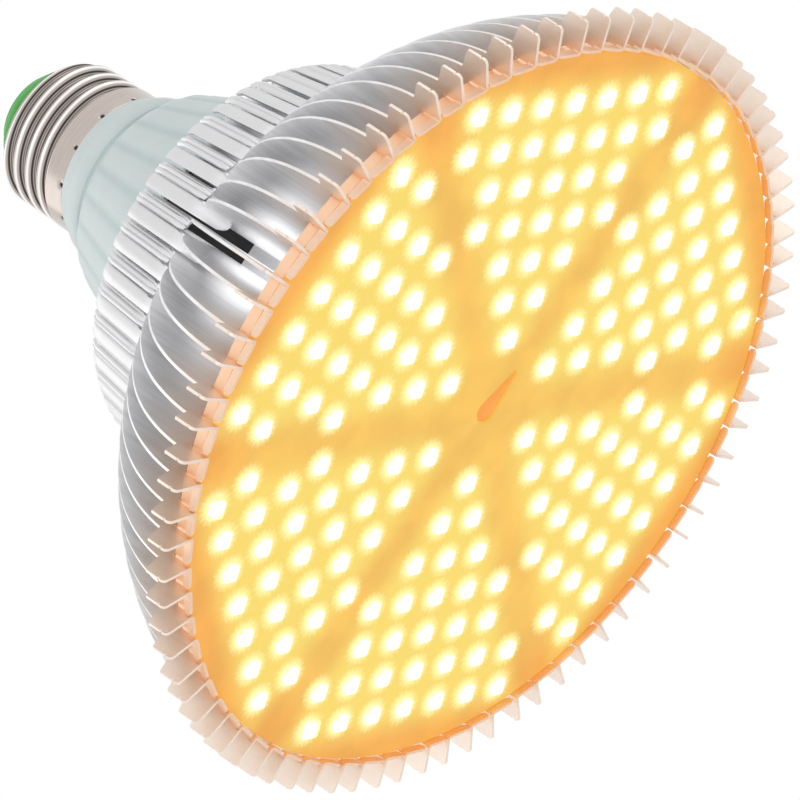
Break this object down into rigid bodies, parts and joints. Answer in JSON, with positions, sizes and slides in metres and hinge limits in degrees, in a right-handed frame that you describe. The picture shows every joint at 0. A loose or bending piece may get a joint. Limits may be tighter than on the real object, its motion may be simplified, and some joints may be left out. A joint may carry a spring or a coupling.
{
  "type": "grow light bulb",
  "caption": "Reflector-shaped LED plant lamp with a stacked-fin aluminium heat sink, a round lit face, a pale plastic neck and a screw base",
  "frame": {"origin": "on the lamp's axis, in the plane of the fins' front edges round the lit face", "axes": "+Z along the axis from the lit face to the screw base; +X through one of the ribbed fins; the lamp stands on its head"},
  "size_m": [0.136, 0.136, 0.1115],
  "materials": {
    "fin_aluminium": "bright rolled sheet, mirror-like with soft streaks",
    "plate_aluminium": "plain milled aluminium, satin",
    "board_mask": "white solder mask on an aluminium board, warmed by the light",
    "light_phosphor": "yellow phosphor behind clear resin, lit",
    "black_plastic": "moulded plastic, satin",
    "neck_plastic": "cool white moulded plastic, half gloss",
    "base_nickel": "warm nickel plating, bright",
    "insulator_green": "green moulded insulator, gloss",
    "contact_metal": "tinned contact",
    "circuit_laminate": "glass-fibre laminate",
    "capacitor_sleeve": "shrink sleeve",
    "choke_sleeve": "heat-shrink over a wound core",
    "transformer_tape": "polyester tape over the windings",
    "chip_black": "epoxy package",
    "lead_sleeve": "insulated lead"
  },
  "bodies": {
    "root": {"panelled_fins": "fin_aluminium", "ribbed_fins": "fin_aluminium", "light_board": "board_mask", "heat_spreader": "plate_aluminium", "driver_cup": "black_plastic", "neck_housing": "neck_plastic", "screw_shell": "base_nickel", "base_insulator": "insulator_green", "centre_contact": "contact_metal", "driver_board": "circuit_laminate", "input_capacitor": "capacitor_sleeve", "output_capacitor": "capacitor_sleeve", "inductor": "choke_sleeve", "transformer": "transformer_tape", "bridge_rectifier": "chip_black", "live_lead": "lead_sleeve", "neutral_lead": "lead_sleeve", "output_leads": "lead_sleeve", "light_group_1": "light_phosphor", "light_group_2": "light_phosphor", "light_group_3": "light_phosphor", "light_group_4": "light_phosphor", "light_group_5": "light_phosphor", "light_group_6": "light_phosphor"}
  },
  "joints": []
}
